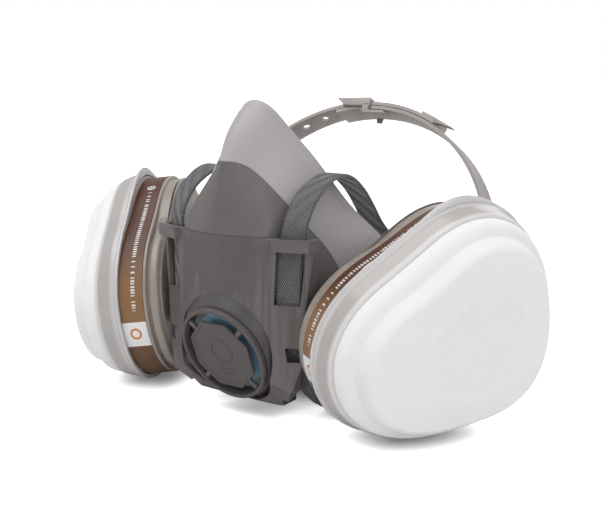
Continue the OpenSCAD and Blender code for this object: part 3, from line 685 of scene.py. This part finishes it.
def seal():
    mid = outset_mid(r_rim, r_joint, 0.55, 1.6)
    lo = inset(r_joint, 0.45, -0.3)
    ctrl = [lo * 2 - mid, lo, mid, r_rim, r_rim * 2 - mid]
    outer = []
    for i in (1, 2):
        for k in range(12):
            outer.append(cr(ctrl[i - 1], ctrl[i], ctrl[i + 1], ctrl[i + 2], k / 12))
    outer.append(r_rim)
    # the last 5 mm before the rim are moulded 0.35 mm thinner; the edge of that step runs all round
    rings = [inset(lo, 0.5, -0.05)]
    for i, q in enumerate(outer):
        t = i / 24
        step = 0.42 / (1 + math.exp((0.885 - t) / 0.008)) if t > 0.8 else 0
        q = inset(q, step)
        q = inset(q, -0.22 * ridge * (1 if t < 0.88 else 0))
        rings.append(q)
    # extra rings where the step is
    k0 = 1 + 20
    extra = []
    base = [cr(ctrl[1], ctrl[2], ctrl[3], ctrl[4], x) for x in (0.735, 0.755, 0.77, 0.785, 0.805)]
    for x, q in zip((0.0, 0.06, 0.21, 0.36, 0.42), base):
        extra.append(inset(q, x))
    rings = rings[:1 + 21] + extra + rings[1 + 22:]
    rings += [inset(r_rim, 0.55, -0.75), inset(r_rim, 1.2, -1.2), inset(r_rim, 2.2, -1.45), inset(r_rim, 3.6, -1.2), inset(r_rim, 6, -0.2),
              inset(r_rim, 9, 1.2), inset(r_rim, 12, 2.8), inset(r_rim, 13.0, 3.5), inset(r_rim, 13.4, 4.0), inset(r_rim, 13.2, 4.6), inset(r_rim, 12.4, 4.9),
              inset(r_rim, 9, 4.1), inset(r_rim, 6, 3.2), inset(r_rim, 4.6, 3.0), inset(r_rim, 3.9, 3.8)]
    mid_in = inset(mid, 3.0)
    lo_in = inset(r_joint, 2.6, -0.3)
    for k in range(1, 8):
        rings.append(cr(inset(r_rim, 3.2, -20), inset(r_rim, 3.7, 4.6), mid_in, lo_in, k / 8))
    for k in range(0, 8):
        rings.append(cr(inset(r_rim, 3.7, 4.6), mid_in, lo_in, lo_in * 2 - mid_in, k / 8))
    rings.append(lo_in)
    v, f = loft(rings, closed_v=True)
    ob = make("seal_skin", mask_pt(v), f, M_SEAL, "mask", "face_seal", attrs=v)
    return ob


def boss_tool(r, z0, z1, flip, name, n=96):
    q = [circ(r, n, z0), circ(r, n, z1)]
    v, f = loft(q, cap=True)
    ob = make(name, PORT(v), f, M_SEAL, None, flip=flip, smooth=False)
    return ob


def boolean(ob, tool, op):
    m = ob.modifiers.new(op.lower(), "BOOLEAN")
    m.operation = op
    m.solver = "EXACT"
    m.object = tool
    bpy.context.view_layer.objects.active = ob
    dg = bpy.context.evaluated_depsgraph_get()
    ev = ob.evaluated_get(dg)
    me = bpy.data.meshes.new_from_object(ev, preserve_all_data_layers=True, depsgraph=dg)
    ob.modifiers.remove(m)
    old = ob.data
    ob.data = me
    bpy.data.meshes.remove(old)
    bpy.data.objects.remove(tool, do_unlink=True)


seal_ob = seal()
for fl in (False, True):
    boolean(seal_ob, boss_tool(18.4, -37.0, -26.2, fl, "tool"), "UNION")
for fl in (False, True):
    boolean(seal_ob, boss_tool(14.15, -70.0, 12.0, fl, "tool"), "DIFFERENCE")
    boolean(seal_ob, boss_tool(19.2, -60.0, -36.8, fl, "tool"), "DIFFERENCE")
seal_ob.data.set_sharp_from_angle(angle=math.radians(38))


def shell():
    """Outer skin from the seal joint to the seam with the cover, then the wall behind the cover, and the inner skin."""
    mid = outset_mid(r_joint, r_brow, 0.5, 0.9)
    c = [r_joint * 2 - mid, r_joint, mid, r_brow, r_brow * 2 - mid]
    rings = [inset(r_joint, 0.7, 0.02), inset(r_joint, 0.25, 0.0), inset(cr(c[0], c[1], c[2], c[3], 0.02), 0.0)]
    for i in (1, 2):
        for k in range(1 if i == 1 else 0, 14):
            rings.append(inset(cr(c[i - 1], c[i], c[i + 1], c[i + 2], k / 14), -0.12 * ridge))
    edge = cr(c[1], c[2], c[3], c[4], 0.985)
    rings += [edge, inset(edge * 0.3 + r_brow * 0.7, 0.25), inset(r_brow, 0.7)]
    a = inset(r_brow, 0.9)
    for k in range(1, 6):
        rings.append(a * (1 - k / 5) + r_behind * k / 5)
    tip = np.array(um(0, -31, 46))
    for k in range(1, 8):
        t = k / 8
        rings.append(r_behind * (1 - t) + tip * t)
    outer_end = len(rings)
    inner = []
    ji, mi, bi, hi = inset(r_joint, 2.4), inset(mid, 2.4, -0.8), inset(r_brow, 3.0, -1.5), inset(r_behind, 4.0, -2.2)
    tin = tip - np.array((0, 0, 2.4))
    for k in range(0, 8):
        t = k / 8
        inner.append(tin * (1 - t) + hi * t if k else hi * 0.02 + tin * 0.98)
    for k in range(0, 5):
        inner.append(hi * (1 - k / 5) + bi * k / 5)
    for k in range(0, 8):
        inner.append(bi * (1 - k / 8) + mi * k / 8)
    for k in range(0, 9):
        inner.append(mi * (1 - k / 8) + ji * k / 8)
    # two sheets closed at the tip with fans and joined at the seal edge
    n = len(r_joint)
    verts = np.concatenate(rings + inner)
    ko, ki = len(rings), len(inner)
    faces = []
    for i in range(ko - 1):
        for j in range(n):
            j1 = (j + 1) % n
            faces.append((i * n + j, i * n + j1, (i + 1) * n + j1, (i + 1) * n + j))
    for i in range(ki - 1):
        for j in range(n):
            j1 = (j + 1) % n
            a0 = (ko + i) * n
            faces.append((a0 + j, a0 + j1, a0 + n + j1, a0 + n + j))
    t0 = len(verts)
    verts = np.vstack([verts, tip, tin])
    for j in range(n):
        j1 = (j + 1) % n
        faces.append(((ko - 1) * n + j, (ko - 1) * n + j1, t0))
        faces.append((t0 + 1, ko * n + j1, ko * n + j))
        faces.append(((ko + ki - 1) * n + j, (ko + ki - 1) * n + j1, j1, j))
    return make("nose_skin", mask_pt(verts), faces, M_SHELL, "mask", "nose_shell", attrs=verts)


shell_ob = shell()
for fl in (False, True):
    boolean(shell_ob, boss_tool(19.0, -60.0, 2.0, fl, "tool"), "DIFFERENCE")
vt, ft = loft([circ(20.2, 128, -60), circ(20.2, 128, 10)], cap=True)
boolean(shell_ob, make("tool", VALVE(vt), ft, M_SHELL, None, smooth=False), "DIFFERENCE")
vt, ft = loft([circ(24.4, 128, -14.5), circ(24.4, 128, 15.5)], cap=True)
boolean(shell_ob, make("tool", VALVE(vt), ft, M_SHELL, None, smooth=False), "DIFFERENCE")
shell_ob.data.set_sharp_from_angle(angle=math.radians(40))

# ------------------------------------------------------------------ exhalation valve
revolve("collar_ring", VALVE, fillet([(19.5, -27, 0.3), (20.0, -27, 0.2), (20.0, -13, 0.2), (23.4, -12.2, 0.2), (23.7, -10.2, 0.2), (26.5, -10.9, 0.15), (26.6, -10.4, 0.15), (24.2, -7.2, 1.8), (21.75, -3.0, 0.8), (20.9, -2.7, 0.3),
                                      (19.5, -2.75, 0.2), (19.5, -9), (17.5, -9), (17.5, -11.5), (19.5, -11.5)], 5), M_COLLAR, "mask", n=160, nodes="valve_collar")


def flap_wave(q, r, z):
    t = np.arange(len(q)) * 2 * math.pi / len(q)
    q[:, 2] += 0.05 * (r / 15.6) ** 2 * np.sin(3 * t + 0.6)
    return q


revolve("flap_disc", VALVE, fillet([(1.5, -6.1, 0.1), (10, -6.2), (16.7, -6.4, 0.1), (16.85, -6.05, 0.15), (16.6, -5.7, 0.1), (13, -5.1), (10, -4.85), (5, -4.6, 0.3), (4.4, -4.2, 0.3), (1.5, -4.2, 0.2)], 4),
        M_FLAP, "exhalation_flap", n=128, nodes="exhalation_flap", wob=flap_wave)
revolve("guard_rim", VALVE, fillet([(19.45, -0.2, 0.3), (20.6, -0.05, 0.4), (21.05, -0.6, 0.4), (21.05, -2.55, 0.25), (19.9, -2.6, 0.2), (19.85, -3.4, 0.15), (19.0, -3.4, 0.15), (19.2, -1.6, 0.3)], 5),
        M_GUARD, "valve_guard", n=160, nodes="valve_guard")


def octo(r, z, c=1.2, per=5, n_side=10):
    """An octagon with softly rounded corners, flats up and sideways."""
    pts = []
    vs = [np.array((math.cos(math.radians(22.5 + 45 * i)), math.sin(math.radians(22.5 + 45 * i)))) * r for i in range(8)]
    for i in range(8):
        a, b, d = vs[i - 1], vs[i], vs[(i + 1) % 8]
        p0 = b + (a - b) / np.linalg.norm(a - b) * c
        p1 = b + (d - b) / np.linalg.norm(d - b) * c
        for k in range(per):
            t = k / (per - 1)
            pts.append(p0 * (1 - t) ** 2 + b * 2 * t * (1 - t) + p1 * t * t)
        nxt = vs[(i + 1) % 8] + (b - vs[(i + 1) % 8]) / np.linalg.norm(b - vs[(i + 1) % 8]) * c
        for k in range(1, n_side):
            pts.append(p1 + (nxt - p1) * k / n_side)
    return np.array([[p[0], p[1], z] for p in pts])


prof = fillet([(14.8, -1.3, 0.2), (16.05, -1.2, 0.3), (16.2, -0.1, 0.4), (15.6, 0.25, 0.3), (15.1, 0.2, 0.3), (14.8, -0.35, 0.3), (14.3, -0.4), (9, -0.4)], 4, closed=False)
rings = [octo(8, -1.3, 0.8)] + [octo(r, z) for r, z in prof]
for k in range(1, 10):
    rings.append(octo(9 * (1 - k / 10) + 0.2, -0.4, 1.2 * (1 - k / 10) + 0.02))
v, f = loft(rings, cap=True)
make("guard_shield", VALVE(v), f, M_GUARD, "valve_guard", attrs=v, sharp=50)
for i, a in enumerate((45, 135, 225, 315)):
    P2 = VALVE.then((0, 0, 0), rot("z", a))
    rbox("guard_spoke_%d" % i, P2, (14.6, -1.0, -2.1), (19.0, 1.0, -0.4), 0.3, M_GUARD, "valve_guard")
# a plain raised ring and two plain bars on the shield
revolve("shield_ring", VALVE, fillet([(5.0, -0.6), (5.0, -0.12, 0.15), (5.7, -0.12, 0.15), (5.7, -0.6)], 3), M_GUARD, "valve_guard", n=96, c0=(0, 1.6))
for i, (x0, x1, y) in enumerate(((-4.2, 4.2, -7.6), (-3.0, 3.0, -9.3))):
    rbox("shield_bar_%d" % i, VALVE, (x0, y - 0.35, -0.6), (x1, y + 0.35, -0.12), 0.16, M_GUARD, "valve_guard")

# ------------------------------------------------------------------ front cover
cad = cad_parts["front_cover"]
cad.data.materials.clear()
cad.data.materials.append(M_COVER)
w = cad.modifiers.new("weld", "WELD")
w.merge_threshold = 0.00002
dm = cad.modifiers.new("planar", "DECIMATE")
dm.decimate_type = "DISSOLVE"
dm.angle_limit = math.radians(1.0)
bv = cad.modifiers.new("edges", "BEVEL")
bv.width = 0.0005
bv.segments = 3
bv.limit_method = "ANGLE"
bv.angle_limit = math.radians(35)
bv.use_clamp_overlap = True

wn = cad.modifiers.new("even", "WEIGHTED_NORMAL")
wn.keep_sharp = True
# the top edge of the cover runs on to the bar over each strap
for fl in (False, True):
    rings = []
    for z, d in ((73.9, 0.14), (76.1, 0.14), (76.4, 0.24), (76.5, 0.45)):
        q = fillet([(16.9, -37.0 + d), (17.6, -36.72 + d), (19.9, -35.95 + d), (22.2, -35.25 + d), (24.9, -34.3 + d), (24.9, -33.1 - d), (21.7, -33.4 - d), (16.9, -34.6 - d)], 1)
        rings.append(np.column_stack([q, np.full(len(q), z)]))
    v, f = loft(rings, cap=True)
    make("cover_lip_" + ("left" if fl else "right"), v, f, M_COVER, "mask", flip=fl, sharp=50)

# ------------------------------------------------------------------ webbing
WEB_W, WEB_T = 10.2, 1.3
TAB_X = 69.0
UPPER = [
  [[TAB_X, 46.7, 65.3], [1, 0, 0]], [[TAB_X - 0.3, 41, 64.8], [1, 0, 0]], [[66.2, 36, 64.2], [0.8, -0.6, 0]],
  [[61.5, 33.8, 63.4], [0.2, -1, 0]], [[54, 34.4, 62.4], [-0.1, -1, 0]], [[46, 35.6, 62.4], [-0.1, -1, 0]],
  [[38.8, 34.2, 64.2], [0, -1, -0.05]], [[33.8, 29.4, 69.0], [0, -1, -0.2]], [[31.6, 23.8, 76], [0, -0.95, -0.35]],
  [[31.1, 17.8, 84], [0, -0.85, -0.5]], [[31.1, 11.0, 91.4], [0, -0.7, -0.7]], [[31.1, 3.0, 97], [0, -0.4, -0.9]],
  [[31.3, -5.0, 98.9], [0, 0.05, -1]], [[31.3, -13.0, 96.7], [0, 0.45, -0.9]],
  [[31.2, -21.5, 91.4], [-0.15, 0.8, -0.6]], [[31, -27.2, 84], [-0.3, 1, -0.2]],
  [[30.62, -28.86, 78], [-0.36, 0.93, 0]], [[29.31, -29.36, 71], [-0.36, 0.93, 0]],
  [[28.57, -29.65, 60], [-0.36, 0.93, 0]], [[28.57, -29.65, 50], [-0.36, 0.93, 0]],
  [[29.2, -28.9, 40], [-0.36, 0.93, 0]], [[30.3, -26.9, 31], [-0.34, 0.93, 0.1]]]
CLIP = (24, 66, 3)
END = [[CLIP[0] + 1.2, CLIP[1] - 1.8, 1.2], [0, 0, 1]]
LOW_R = [[[31.1, -24.4, 23.6], [-0.3, 0.93, 0.2]], [[31.7, -20.8, 17], [-0.2, 0.8, 0.5]], [[32, -16.4, 11.4], [-0.1, 0.7, 0.7]],
  [[32.2, -9.4, 5.6], [0, 0.4, 0.9]], [[32, 0, 2.4], [0, 0.1, 1]], [[34, 22, 1.5], [0, 0, 1]],
  [[33.4, 40, 1.4], [0, 0, 1]], [[29.6, 54, 1.4], [0, 0, 1]], END]
LOW_L = [[[30.6, -24.2, 22], [-0.26, 0.85, 0.4]], [[29.4, -17.8, 13.8], [-0.1, 0.6, 0.8]],
  [[27.6, -6.6, 6.4], [0, 0.45, 0.9]], [[27, 5, 2.9], [0, 0.1, 1]], [[29, 22, 1.5], [0, 0, 1]],
  [[31, 40, 1.4], [0, 0, 1]], [[29, 54, 1.4], [0, 0, 1]], END]


def unit(a):
    return a / np.maximum(np.linalg.norm(a, axis=-1, keepdims=True), 1e-9)


def web_path(st, step=0.3):
    c = np.array([s[0] for s in st], float)
    f = np.array([s[1] for s in st], float)
    P, F = [], []
    n = len(c)
    for i in range(n - 1):
        seg = np.linalg.norm(c[i + 1] - c[i])
        m = max(2, int(round(seg / step)))
        for j in range(m):
            t = j / m
            P.append(cr(c[max(i - 1, 0)], c[i], c[i + 1], c[min(i + 2, n - 1)], t))
            F.append(f[i] * (1 - t) + f[i + 1] * t)
    P.append(c[-1])
    F.append(f[-1])
    P, F = np.array(P), np.array(F)
    g = unit(np.gradient(P, axis=0))
    wv = unit(np.cross(unit(F), g))
    h = np.cross(g, wv)
    return P, g, wv, h


def webbing(name, st, flip, nodes, body="mask", w=WEB_W, t=WEB_T):
    P, g, wv, h = web_path(st)
    s = np.concatenate([[0], np.cumsum(np.linalg.norm(np.diff(P, axis=0), axis=1))])
    na = 43
    ua = np.linspace(-w / 2 + 0.35, w / 2 - 0.35, na)
    sec, side = [], []
    for u in ua:
        sec.append((u, t / 2)); side.append(0)
    for k in range(1, 5):
        a = math.pi / 2 - math.pi * k / 5
        sec.append((w / 2 - 0.35 + 0.35 * math.cos(a), t / 2 * math.sin(a))); side.append(0.5)
    for u in ua[::-1]:
        sec.append((u, -t / 2)); side.append(1)
    for k in range(1, 5):
        a = -math.pi / 2 - math.pi * k / 5
        sec.append((-w / 2 + 0.35 + 0.35 * math.cos(a), t / 2 * math.sin(a))); side.append(0.5)
    sec = np.array(sec)
    side = np.array(side)
    # woven ribs as real relief: diagonal twill lines, corded selvedges
    U, Vv = np.meshgrid(sec[:, 0], s)
    ph = ((-U + Vv * 0.58) / 1.05) % 1.0
    rib = np.cos((ph - 0.5) * 2 * math.pi) * 0.06
    face = (np.abs(np.abs(sec[:, 1]) - t / 2) < 1e-6).astype(float)
    edge = np.clip((np.abs(U) - (w / 2 - 0.8)) / 0.3, 0, 1)
    rib = rib * (1 - edge) + edge * 0.03 * np.cos(Vv * 2 * math.pi / 0.9)
    off = rib * face[None, :] * np.sign(sec[:, 1])[None, :]
    wob = 0.12 * np.sin(s / 17.0) + 0.07 * np.sin(s / 6.1 + 1)
    X = P[:, None, :] + wv[:, None, :] * (sec[None, :, 0:1] + 0 * wob[:, None, None]) + h[:, None, :] * (sec[None, :, 1:2] + off[:, :, None])
    rings = [X[i] for i in range(len(P))]
    v, f = loft(rings, cap=True)
    at = np.stack([U.ravel(), Vv.ravel(), np.broadcast_to((side > 0.7).astype(float), U.shape).ravel()], 1)
    at = np.vstack([at, at[0], at[-1]])
    return make(name, v, f, M_WEB, body, nodes, flip, attrs=at)


webbing("strap_right", UPPER + LOW_R, False, "elastic_strap_right")
webbing("strap_left", UPPER + LOW_L, True, "elastic_strap_left")

# ------------------------------------------------------------------ crown slider and band end
def polar(pts):
    return [(r * math.cos(math.radians(a)), r * math.sin(math.radians(a))) for a, r in pts]


def prism(name, pts, z0, z1, rnd, mat, body, nodes=()):
    """A flat-sided block with a polygon outline (x, y) in the crown frame and rounded edges."""
    bm = bmesh.new()
    lo_v = [bm.verts.new((x, y, z0)) for x, y in pts]
    hi_v = [bm.verts.new((x, y, z1)) for x, y in pts]
    n = len(pts)
    bm.faces.new(lo_v[::-1])
    bm.faces.new(hi_v)
    for i in range(n):
        bm.faces.new((lo_v[i], lo_v[(i + 1) % n], hi_v[(i + 1) % n], hi_v[i]))
    bmesh.ops.recalc_face_normals(bm, faces=bm.faces)
    if rnd:
        bmesh.ops.bevel(bm, geom=list(bm.edges), offset=rnd, segments=3, profile=0.5, affect="EDGES")
    bm.verts.index_update()
    verts = np.array([v.co for v in bm.verts])
    faces = [tuple(v.index for v in f.verts) for f in bm.faces]
    bm.free()
    return make(name, CROWN(verts), faces, mat, body, nodes, attrs=verts, sharp=40)


# the tool that clears the way of both bands through the slider
way = [(a, 79.1) for a in np.linspace(72, 112, 41)] + [(a, 74.95) for a in np.linspace(112, 72, 41)]
slider = prism("slider_plate", polar([(104.3, 82.0), (97.6, 80.6), (91.0, 80.3), (90.7, 76.2), (96, 76.4), (101.6, 77.6), (102.2, 79.2)]), -7.6, 7.6, 0.35, M_BAND, "crown_slider",
               nodes="crown_slider")
boolean(slider, prism("tool", polar(way), -6.35, 6.35, 0, M_BAND, None), "DIFFERENCE")
slider.data.set_sharp_from_angle(angle=math.radians(40))
keeper = prism("slider_keeper", polar([(94.4, 74.5), (92.4, 72.6), (83.4, 73.2), (84.6, 74.3)]), 2.2, 7.6, 0.25, M_BAND, "crown_slider")
for i, (z0, z1) in enumerate(((-7.6, -6.4), (6.4, 7.6))):
    prism("slider_leg_%d" % i, polar([(93.6, 76.9), (93.4, 73.8), (91.2, 73.6), (90.9, 77.4)]), z0, z1, 0.2, M_BAND, "crown_slider")
# the free end of the band: a thicker pad and a tapered tip that lifts off the band below
prism("band_tip", polar([(69.6, 78.5), (69.4, 79.7), (65.6, 79.95), (57.0, 80.9), (56.8, 80.55), (61.5, 78.7), (65.0, 77.3), (67.5, 77.6)]), 2.6, 5.8, 0.18, M_BAND, "cradle")

# ------------------------------------------------------------------ carried-over CAD nodes
MAT_OF = {"valve_seat": M_PORT, "inlet_port": M_PORT, "port_gasket": M_GASKET, "inhalation_flap": M_CLEAR, "cartridge_grille": M_GRILLE,
          "carbon_bed": M_CARBON, "dust_felts": M_FELT, "crown_band_left": M_BAND, "crown_band_right": M_BAND, "crown_slider": M_BAND,
          "rear_band": M_BAND, "cradle_rivet": M_RIVET, "neck_hook": M_CLIP, "neck_loop": M_CLIP}
for name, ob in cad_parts.items():
    if ob.hide_render or name == "front_cover":
        continue
    key = name if name in MAT_OF else name.rsplit("_", 1)[0]
    ob.data.materials.clear()
    ob.data.materials.append(MAT_OF[key])
    wd = ob.modifiers.new("weld", "WELD")
    wd.merge_threshold = 0.00002
    dm = ob.modifiers.new("planar", "DECIMATE")
    dm.decimate_type = "DISSOLVE"
    dm.angle_limit = math.radians(0.5)
    bv = ob.modifiers.new("edges", "BEVEL")
    bv.width = 0.0003
    bv.segments = 2
    bv.limit_method = "ANGLE"
    bv.angle_limit = math.radians(35)

# ------------------------------------------------------------------ stage, light, camera
floor_mat = Nodes("floor_paper")
fo = floor_mat.coord()
fx, fy, fz = floor_mat.xyz(floor_mat.node("ShaderNodeNewGeometry", out=0))
# seen by the camera the paper is pure white but for a soft contact shadow; to everything else it is plain white paper
near = floor_mat.t.nodes.new("ShaderNodeAmbientOcclusion")
near.samples = 12
near.inputs["Distance"].default_value = 0.016
seen_by_camera = floor_mat.t.nodes.new("ShaderNodeLightPath").outputs["Is Camera Ray"]
glow = floor_mat.math("MULTIPLY", seen_by_camera, floor_mat.smooth(near.outputs["AO"], 0.0, 0.50))
floor_mat.set(Base_Color=(0.86, 0.86, 0.86), Roughness=0.7, Specular_IOR_Level=0.15, Emission_Color=(1, 1, 1), Emission_Strength=glow)
bpy.ops.mesh.primitive_plane_add(size=12, location=(0, 0, -0.0004))
floor = bpy.context.active_object
floor.name = "floor"
floor.data.materials.append(floor_mat.m)

world = bpy.data.worlds.new("studio")
scene.world = world
world.use_nodes = True
wt = world.node_tree
wt.nodes.clear()
wo = wt.nodes.new("ShaderNodeOutputWorld")
wmix = wt.nodes.new("ShaderNodeMixShader")
soft = wt.nodes.new("ShaderNodeBackground")
seen = wt.nodes.new("ShaderNodeBackground")
lp = wt.nodes.new("ShaderNodeLightPath")
soft.inputs[0].default_value = (1, 1, 1, 1)
soft.inputs[1].default_value = 0.56
seen.inputs[0].default_value = (1, 1, 1, 1)
seen.inputs[1].default_value = 1.0
wt.links.new(lp.outputs["Is Camera Ray"], wmix.inputs[0])
wt.links.new(soft.outputs[0], wmix.inputs[1])
wt.links.new(seen.outputs[0], wmix.inputs[2])
wt.links.new(wmix.outputs[0], wo.inputs[0])


def area(name, loc, target, size, power, shape="RECTANGLE", size_y=None, col=(1, 1, 1)):
    d = bpy.data.lights.new(name, "AREA")
    d.shape = shape
    d.size = size
    if size_y:
        d.size_y = size_y
    d.energy = power
    d.color = col
    o = bpy.data.objects.new(name, d)
    scene.collection.objects.link(o)
    o.location = loc
    o.rotation_euler = (Vector(target) - Vector(loc)).to_track_quat("-Z", "Y").to_euler()
    return o


T0 = (0.0, 0.0, 0.05)
area("key_top", (-0.20, -0.25, 0.95), T0, 0.9, 5.0, size_y=0.7)
area("fill_right", (0.95, -0.45, 0.55), T0, 0.7, 2.9, size_y=0.8)
area("fill_left", (-0.95, -0.35, 0.35), T0, 0.4, 0.5, size_y=0.8)
area("back", (-0.1, 0.9, 0.6), T0, 1.0, 2.0, size_y=0.5)

cam_data = bpy.data.cameras.new("cam")
cam_data.sensor_width = 36
cam_data.lens = 66.03
cam = bpy.data.objects.new("cam", cam_data)
scene.collection.objects.link(cam)
cam.location = (0.2863, -0.3568, 0.1447)
cam.rotation_euler = (Vector((0.0116, 0.0, 0.0620)) - cam.location).to_track_quat("-Z", "Y").to_euler()
cam_data.clip_start, cam_data.clip_end = 0.01, 20
scene.camera = cam
scene.view_settings.view_transform = "Standard"
scene.view_settings.look = "None"
